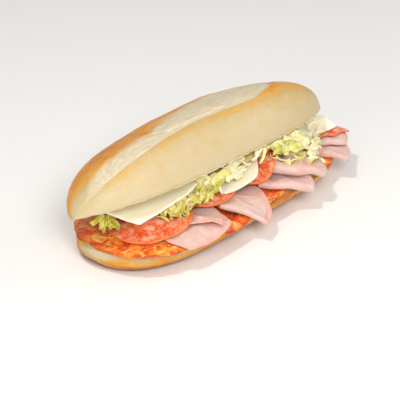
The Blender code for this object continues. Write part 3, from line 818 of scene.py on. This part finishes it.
def make_slice(node, name, surface, kind):
    """One slice with a rippled rim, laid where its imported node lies."""
    crease, ripple = SLICE_KINDS[kind]
    points, faces, inside = refined(node, levels=3, crease=crease)
    flat = points * np.array((1, 1, 0.0))
    points = shared_warp(points)
    if ripple:
        near_rim = (1 - inside) ** 2
        sideways = np.stack((smooth_noise(flat, 6 * MM, 62), smooth_noise(flat, 6 * MM, 63)), -1)
        points[:, 2] += ripple * MM * (rough_noise(flat, 7 * MM, 2, 61) * near_rim)
        points[:, :2] += 0.6 * ripple * MM * sideways * near_rim[:, None]
    return make_piece(name, points, faces, surface, {"inside": inside}, kind, node)


def make_slices(surfaces):
    for number in range(1, 5):
        for kind in ("capicola", "salami"):
            make_slice(f"{kind}_{number}", f"{kind}_slice_{number}", surfaces[kind], kind)
    for fold in HAM_FOLDS:
        make_slice(f"ham_{fold}", f"ham_fold_{fold}", surfaces["ham"], "ham")
    for number in range(1, 4):
        make_slice(f"cheese_{number}", f"cheese_slice_{number}", surfaces["cheese"], "cheese")


# ---------- lettuce

# Along the roll, as (X in mm, value): how green the lettuce is, from 0 for white rib to 1 for leaf, and
# how much brown painted shade its shreds carry, from 0 for none.
HEAP_GREEN = ((-130, 0.8), (-98, 0.54), (-74, 0.52), (-52, 0.60), (-34, 0.46), (-18, 0.16), (18, 0.10),
              (30, 0.34), (50, 0.36), (62, 0.16), (90, 0.10), (120, 0.16))
HEAP_PAINTED_SHADE = ((-98, 0.45), (-66, 0.36), (-44, 0.0), (90, 0.0), (112, 0.25))
# How far the core's top and bottom are drawn in, how much that varies, and the most that it may be as a
# share of the heap's height.
CORE_DEPTH = 3.2 * MM
CORE_CRUMPLE = 1.6 * MM
CORE_MOST = 0.3
# How much narrower the core is than the heap, as a share, and how much greener and darker as painted shade.
CORE_NARROWER = 0.08
CORE_GREENER_AS_SHADE = 0.24
# Strips of lettuce: points across, where and how bluntly they end, the leaf's thickness and the share of
# the half width that the rib fills.
STRIP_ACROSS = 9
STRIP_TIPS = (0.06, 0.94)
STRIP_BLUNTNESS = 0.45
LEAF_THICKNESS = 0.5 * MM
RIB_SHARE = 0.8
DRAPE_SMOOTHING = 3
PHASES = (0, 6.28)
# How far before a slice a point is stopped, and how close to the heap it is left alone.
SLICE_GAP = 0.3 * MM
HEAP_NEAR = 0.2 * MM


def height_through(tree, point):
    """How high the solid stands through a point, straight up and down."""
    up = Vector((0, 0, 1))
    top = tree.ray_cast(point + up, -up)[0]
    bottom = tree.ray_cast(point - up, up)[0]
    return top.z - bottom.z if top and bottom else 0.0


def make_core(surface):
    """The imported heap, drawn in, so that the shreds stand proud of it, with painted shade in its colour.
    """
    points, faces, _ = refined("lettuce", levels=2, crease=0.0)
    tree = BVHTree.FromPolygons(points.tolist(), faces)
    height = np.array([height_through(tree, Vector(point)) for point in points])
    mesh = new_mesh("core", points.tolist(), faces)
    facing = np.sign(read(mesh.vertices, "normal")[:, 2])
    bpy.data.meshes.remove(mesh)
    crumple = rough_noise(points, 9 * MM, 3, 71)
    # Painted shade: greener and darker than the shreds, as the gaps between them.
    green = curve(points[:, 0], HEAP_GREEN) + CORE_GREENER_AS_SHADE + 0.2 * smooth_noise(points, 16 * MM, 73)
    drawn = np.minimum(CORE_DEPTH - CORE_CRUMPLE * crumple, CORE_MOST * height)
    points[:, 2] -= facing * drawn
    middle = points[:, 1].mean()
    points[:, 1] = middle + (points[:, 1] - middle) * (1 - CORE_NARROWER)
    # Brown painted shade all over the core.
    fields = {"green": green, "wilt": np.ones(len(points))}
    return make_piece("lettuce_core", points, faces, surface, fields, "lettuce", "lettuce")


def tree_of(nodes):
    """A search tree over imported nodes."""
    points, faces = [], []
    for node in nodes:
        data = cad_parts[node].data
        start = len(points)
        points += [vert.co.copy() for vert in data.vertices]
        faces += [[start + k for k in face.vertices] for face in data.polygons]
    return BVHTree.FromPolygons(points, faces)


def skin_faces(steps, count):
    """Faces of two grids of points, one above the other, joined round their rim."""
    top, bottom = np.arange(2 * steps * count).reshape(2, steps, count).tolist()
    faces = []
    for i in range(steps - 1):
        for j in range(count - 1):
            faces.append((top[i][j], top[i + 1][j], top[i + 1][j + 1], top[i][j + 1]))
            faces.append((bottom[i][j], bottom[i][j + 1], bottom[i + 1][j + 1], bottom[i + 1][j]))
        for j in (0, count - 1):
            first, second = (i, i + 1) if j else (i + 1, i)
            faces.append((top[first][j], top[second][j], bottom[second][j], bottom[first][j]))
    for i in (0, steps - 1):
        for j in range(count - 1):
            first, second = (j, j + 1) if i == 0 else (j + 1, j)
            faces.append((top[i][first], top[i][second], bottom[i][second], bottom[i][first]))
    return faces


def join_piece(name, parts, surface, slot):
    """One piece from parts of (points, faces, greenness)."""
    faces, total = [], 0
    for points, part_faces, _ in parts:
        faces += [tuple(total + k for k in face) for face in part_faces]
        total += len(points)
    points = np.concatenate([part[0] for part in parts])
    # Brown painted shade on the shreds, by their place along the roll.
    wilt = curve(points[:, 0] - ORIGIN.x, HEAP_PAINTED_SHADE)
    fields = {"green": np.concatenate([part[2] for part in parts]), "wilt": wilt}
    return make_piece(name, points, faces, surface, fields, slot)


def bearing(normal, turn):
    """A direction along the heap at this spot, turned from X towards the ground."""
    along = (Vector((1, 0, 0)) - normal * normal.x).normalized()
    return along * math.cos(turn) + normal.cross(along) * -math.sin(turn)


def draped(heap, spot, heading, length, bend, lift):
    """A centre line that follows the heap's surface, this far above it at each step."""
    t = np.linspace(-0.5, 0.5, len(lift))
    side = heading.cross(Vector((0, -1, 0)))
    path = []
    for share, height in zip(t, lift):
        wanted = spot + heading * (share * length) + side * (bend * length * share * share)
        place, normal, _, _ = heap.find_nearest(wanted)
        path.append(place + normal * height)
    path = np.array(path)
    for _ in range(DRAPE_SMOOTHING):
        path[1:-1] = (path[:-2] + 2 * path[1:-1] + path[2:]) / 4
    return path


def strip(rng, path, normal, half_width, rib, ruffle, wave, green, twist):
    """A strip along a path: a pale rib down its middle and thin frilled leaf at its edges."""
    steps = len(path)
    tangent = np.gradient(path, axis=0)
    tangent /= np.linalg.norm(tangent, axis=1, keepdims=True)
    turn = (twist + rng.normal(0, 0.5) * np.linspace(-0.5, 0.5, steps))[:, None]
    flat = np.cross(np.array(normal)[None, :], tangent)
    flat /= np.linalg.norm(flat, axis=1, keepdims=True)
    upright = np.cross(tangent, flat)
    side = flat * np.cos(turn) + upright * np.sin(turn)
    up = np.cross(tangent, side)
    v = np.linspace(-1, 1, STRIP_ACROSS)[None, :]
    u = np.linspace(0, 1, steps)[:, None]
    reach = half_width * np.sin(math.pi * np.clip(u, *STRIP_TIPS)) ** STRIP_BLUNTNESS
    reach = reach * (1 + 0.22 * np.sin(u * 8 + rng.uniform(*PHASES) + np.sign(v)))
    length = np.linalg.norm(np.diff(path, axis=0), axis=1).sum()
    phase = rng.uniform(*PHASES)
    frill = np.sin(phase + u * 2 * math.pi * length / wave + 1.8 * np.sign(v)) * np.abs(v) ** 1.3
    lift = rng.uniform(-0.1, 0.45) * half_width * v * v + ruffle * frill
    middle = path[:, None, :] + side[:, None, :] * (reach * v)[..., None] + up[:, None, :] * lift[..., None]
    half = 0.5 * (LEAF_THICKNESS + rib * np.maximum(0, 1 - (v / RIB_SHARE) ** 2) * np.ones_like(u))
    offset = half[..., None] * up[:, None, :]
    points = np.concatenate(((middle + offset).reshape(-1, 3), (middle - offset).reshape(-1, 3)))
    tone = np.clip(green + 0.25 * (np.abs(v) - 0.5) * np.ones_like(u), 0, 1).ravel()
    return points, skin_faces(steps, STRIP_ACROSS), np.concatenate((tone, tone))


def held_back(points, heap, slices):
    """Points of a strip, stopped where a slice lies between them and the heap."""
    for k, point in enumerate(points):
        start = heap.find_nearest(Vector(point))[0]
        way = Vector(point) - start
        if way.length < HEAP_NEAR:
            continue
        stop, _, _, distance = slices.ray_cast(start, way.normalized(), way.length + SLICE_GAP)
        if stop is not None:
            points[k] = start + way.normalized() * max(0, distance - SLICE_GAP)
    return points


# Stretches of the heap: X from and to, Z from and to in mm, pieces, the share of ribs among those that
# aren't fine, the share of fine ones, and which way the pieces lie in degrees.
LETTUCE_ZONES = ((-98, -72, 37, 46, 11, 0.15, 0.65, -50), (-76, -46, 38, 50, 16, 0.2, 0.65, -45),
                 (-56, -28, 45, 54, 12, 0.3, 0.4, -15), (-34, -8, 49, 57, 7, 0.3, 0.3, 6),
                 (-8, 30, 57, 62, 6, 0.7, 0.2, 6), (28, 62, 46, 60, 15, 0.35, 0.3, 6),
                 (58, 90, 42, 57, 18, 0.45, 0.2, 6), (88, 116, 36, 47, 12, 0.5, 0.15, 6))
# Pieces that hang out over the slices: X, Y, Z in mm, their turn in degrees, greenness and kind.
LETTUCE_SPILLS = (
    (-97, -36, 36, 70, 0.62, "fine"), (-93, -38, 37, 110, 0.50, "fine"), (-88, -41, 37, 80, 0.66, "fine"),
    (-83, -43, 38, 100, 0.50, "fine"), (-78, -45, 38, 75, 0.58, "fine"), (-73, -48, 39, 60, 0.66, "leaf"),
    (-68, -49, 39, 95, 0.50, "fine"), (-44, -52, 43, 15, 0.12, "rib"), (-34, -52, 42, 30, 0.16, "rib"),
    (57, -46, 42, 30, 0.32, "leaf"), (66, -50, 40, 10, 0.15, "rib"), (75, -50, 38, 60, 0.25, "leaf"),
    (62, -42, 44, 40, 0.40, "fine"), (80, -46, 38, 20, 0.10, "rib"), (46, -56, 46, 35, 0.36, "leaf"),
    (55, -60, 46, 20, 0.30, "leaf"), (64, -64, 44, 30, 0.12, "rib"), (73, -66, 44, 15, 0.28, "leaf"),
    (81, -64, 42, 45, 0.10, "rib"), (89, -58, 38, 10, 0.20, "leaf"), (96, -56, 36, 50, 0.06, "rib"),
    (103, -52, 34, 20, 0.14, "leaf"), (108, -48, 36, 70, 0.05, "rib"))
# Curled pieces: X, Y, Z, the curl's radius in mm and where it begins in degrees.
LETTUCE_CURLS = (
    (114, -45, 46, 5.0, 150), (105, -49, 43, 4.4, 60), (95, -50, 46, 5.0, 130), (80, -58, 46, 4.4, 200),
    (102, -41, 55, 4.2, 170), (103, -43, 50, 4.6, 20), (-66, -51, 43, 3.6, 90))
# The heap's open side is met along this direction, from this far outside this Y in mm.
INWARD = Vector((0, 1, -0.35)).normalized()
OUTSIDE = 0.08
OPEN_SIDE_Y = -50


# Shreds by kind: half width, rib thickness and ruffle as ranges in mm, and added greenness.
SHRED_KINDS = {
    "leaf": ((4.2, 7.0), (0.3, 0.3), (0.8, 1.6), 0.0),
    "rib": ((1.8, 3.0), (1.2, 2.3), (0.3, 0.3), -0.12),
    "fine": ((1.0, 2.0), (0.3, 0.8), (0.3, 0.7), 0.02),
}


# All shreds, in mm: length, height over what they rest on, rise of their ends, waviness, wavelength of
# the frill, and how much prouder fine ones stand.
SHRED_LENGTH = (15, 27)
SHRED_CLEAR = (0.5, 1.6)
SHRED_END_RISE = (0.0, 2.4)
SHRED_WAVE = 0.5
SHRED_FRILL = (8, 12)
FINE_PROUD = 1.2
SHRED_STEPS = 20
# How much shreds differ in turn, in degrees, and in bend, greenness and twist.
TURN_SPREAD = 35
BEND_SPREAD = 0.5
GREEN_SPREAD = 0.21
TWIST_SPREAD = 0.4


def make_strip(rng, base, spot, normal, turn, green, kind):
    """One shred of this kind, draped over the base at this spot."""
    widths, ribs, ruffles, greener = SHRED_KINDS[kind]
    length = rng.uniform(*SHRED_LENGTH) * MM
    t = np.linspace(-1, 1, SHRED_STEPS)
    proud = FINE_PROUD if kind == "fine" else 0
    lift = proud + rng.uniform(*SHRED_CLEAR) + rng.uniform(*SHRED_END_RISE) * t * t
    lift = lift + SHRED_WAVE * np.sin(t * 4 + rng.uniform(0, 6))
    heading = bearing(normal, turn)
    path = draped(base, spot, heading, length, rng.normal(0, BEND_SPREAD), lift * MM)
    tone = green + greener + rng.normal(0, GREEN_SPREAD)
    half_width = rng.uniform(*widths) * MM
    rib = rng.uniform(*ribs) * MM
    ruffle = rng.uniform(*ruffles) * MM
    wave = rng.uniform(*SHRED_FRILL) * MM
    twist = rng.normal(0, TWIST_SPREAD)
    return strip(rng, path, normal, half_width, rib, ruffle, wave, tone, twist)


def make_curl(rng, place, radius, begin):
    """A strip of rib curled round this place, tighter towards its end."""
    steps = 24
    sideways, upward = (0.8, -0.45, 0), (0, -0.3, 1)
    turn = (begin + np.linspace(0, 4.2, steps))[:, None]
    reach = radius * np.linspace(1.15, 0.75, steps)[:, None]
    path = np.array(place) + reach * (np.cos(turn) * sideways + np.sin(turn) * upward)
    return strip(rng, path, Vector((0.45, 0.8, 0.3)), half_width=1.7 * MM, rib=1.1 * MM, ruffle=0.2 * MM,
                 wave=9 * MM, green=0.05, twist=0.2)


def make_shreds(surface):
    """Shredded lettuce over the open side of the heap."""
    rng = np.random.default_rng(7)
    heap = tree_of(["lettuce"])
    slices = tree_of([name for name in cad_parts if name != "lettuce"])
    parts = []
    for start, end, low, high, pieces, ribs, fine, lie in LETTUCE_ZONES:
        for number in range(pieces):
            x = rng.uniform(start, end)
            aim_at = Vector((x, OPEN_SIDE_Y, rng.uniform(low, high))) * MM + ORIGIN
            spot, normal, _, _ = heap.ray_cast(aim_at - INWARD * OUTSIDE, INWARD)
            if spot is None:
                continue
            kind = "fine" if number >= pieces * (1 - fine) else "rib" if rng.uniform() < ribs else "leaf"
            turn = math.radians(lie + rng.normal(0, TURN_SPREAD))
            part = make_strip(rng, heap, spot, normal, turn, curve(x * MM, HEAP_GREEN), kind)
            parts.append((held_back(part[0], heap, slices),) + part[1:])
    rests = tree_of([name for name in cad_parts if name.startswith(("lettuce", "ham", "salami"))])
    for x, y, z, turn, green, kind in LETTUCE_SPILLS:
        spot, normal, _, _ = rests.find_nearest(Vector((x, y, z)) * MM + ORIGIN)
        parts.append(make_strip(rng, rests, spot, normal, math.radians(turn), green, kind))
    for x, y, z, radius, begin in LETTUCE_CURLS:
        place = ORIGIN + Vector((x, y, z)) * MM
        parts.append(make_curl(rng, place, radius * MM, math.radians(begin)))
    return join_piece("lettuce_shreds", parts, surface, "lettuce")


LEAF_LOBES = 5
LEAF_TEETH = 16
LEAF_FOLDS = 11


def make_leaf(surface):
    """The lobed, ruffled green leaf at the left end."""
    points, faces, inside = refined("lettuce_leaf", levels=4, crease=0.2)
    middle = points.mean(axis=0)
    angle = np.arctan2(points[:, 1] - middle[1], points[:, 0] - middle[0])
    rim = (1 - inside) ** 1.2
    lobes = np.abs(np.sin(LEAF_LOBES / 2 * angle + 0.5)) ** 3
    teeth = np.abs(np.sin(LEAF_TEETH / 2 * angle)) ** 2
    notches = 0.42 * lobes + 0.10 * teeth
    points[:, :2] = middle[:2] + (points[:, :2] - middle[:2]) * (1 - rim * notches)[:, None]
    flat = points * np.array((1, 1, 0))
    folds = np.sin(LEAF_FOLDS * angle + 1)
    ruffle = 1.8 * folds + 1.6 * rough_noise(flat, 5 * MM, 2, seed=81)
    points[:, 2] += MM * (rim * ruffle + 1.2 * smooth_noise(flat, 7 * MM, seed=85))
    # Fold crests are painted paler and the troughs darker: painted light and shade on the ruffles.
    green = 0.90 - 0.28 * inside + 0.22 * smooth_noise(points, 6 * MM, seed=83) - 0.12 * folds * rim
    return make_piece("lettuce_leaf_ruffled", points, faces, surface, {"green": green}, "lettuce_leaf",
                      "lettuce_leaf")


# ---------- studio

FLOOR_HALF = 3.0
# Round lights: name, place, width, power in watts and colour.
LIGHTS = (("key", (-0.62, 0.12, 1.7), 0.15, 10, (1.0, 0.97, 0.92)),
          ("front_fill", (-0.65, -1.05, 1.0), 0.7, 14, (1.0, 0.98, 0.96)),
          ("left_fill", (-1.6, -0.5, 0.6), 1.0, 4.5, (1.0, 0.98, 0.95)),
          ("right_fill", (1.4, -0.7, 1.0), 0.8, 5, (1.0, 0.98, 0.95)))
LIT_SPOT = (0, 0, 0.04)
SKY_COLOUR = (1.0, 0.99, 0.97, 1)
SKY_STRENGTH = 0.43
# The camera: lens and sensor in mm, distance from the origin that it looks at, turn from the front
# towards the left end, and height as an angle.
LENS = 121.17
SENSOR = 36
CAMERA_DISTANCE = 1.2008
CAMERA_TURN = math.radians(46.774)
CAMERA_HEIGHT = math.radians(28.659)
NEAREST_SEEN = 0.05


def make_floor():
    corners = [(x * FLOOR_HALF, y * FLOOR_HALF, 0) for x, y in ((-1, -1), (1, -1), (1, 1), (-1, 1))]
    mesh = new_mesh("floor", corners, [(0, 1, 2, 3)])
    mesh.materials.append(floor_material())
    floor = new_object("floor", mesh)


def aim(obj, target):
    obj.rotation_euler = (Vector(target) - obj.location).to_track_quat("-Z", "Y").to_euler()


def make_light(name, place, size, power, colour):
    data = bpy.data.lights.new(name, "AREA")
    data.shape = "DISK"
    data.size = size
    data.energy = power
    data.color = colour
    light = new_object(name, data)
    light.location = place
    aim(light, LIT_SPOT)


def make_studio():
    make_floor()
    for light in LIGHTS:
        make_light(*light)
    world = bpy.data.worlds.new("studio")
    world.use_nodes = True
    background = world.node_tree.nodes["Background"]
    background.inputs["Color"].default_value = SKY_COLOUR
    background.inputs["Strength"].default_value = SKY_STRENGTH
    bpy.context.scene.world = world
    bpy.context.scene.view_settings.view_transform = "Standard"


def make_camera():
    """A long lens from the front left, well above the sandwich."""
    data = bpy.data.cameras.new("camera")
    data.lens = LENS
    data.sensor_width = SENSOR
    data.clip_start = NEAREST_SEEN
    level = math.cos(CAMERA_HEIGHT)
    away = Vector((-level * math.sin(CAMERA_TURN), -level * math.cos(CAMERA_TURN), math.sin(CAMERA_HEIGHT)))
    camera = new_object("camera", data)
    camera.location = ORIGIN + away * CAMERA_DISTANCE
    aim(camera, ORIGIN)
    bpy.context.scene.camera = camera


def build():
    make_camera()
    make_studio()
    crust, lettuce = crust_material(), lettuce_material()
    make_crown(crust)
    make_heel(crust)
    make_slices({"ham": ham_material(), "salami": salami_material(), "capicola": capicola_material(),
                 "cheese": cheese_material()})
    make_core(lettuce)
    make_shreds(lettuce)
    make_leaf(lettuce)


build()
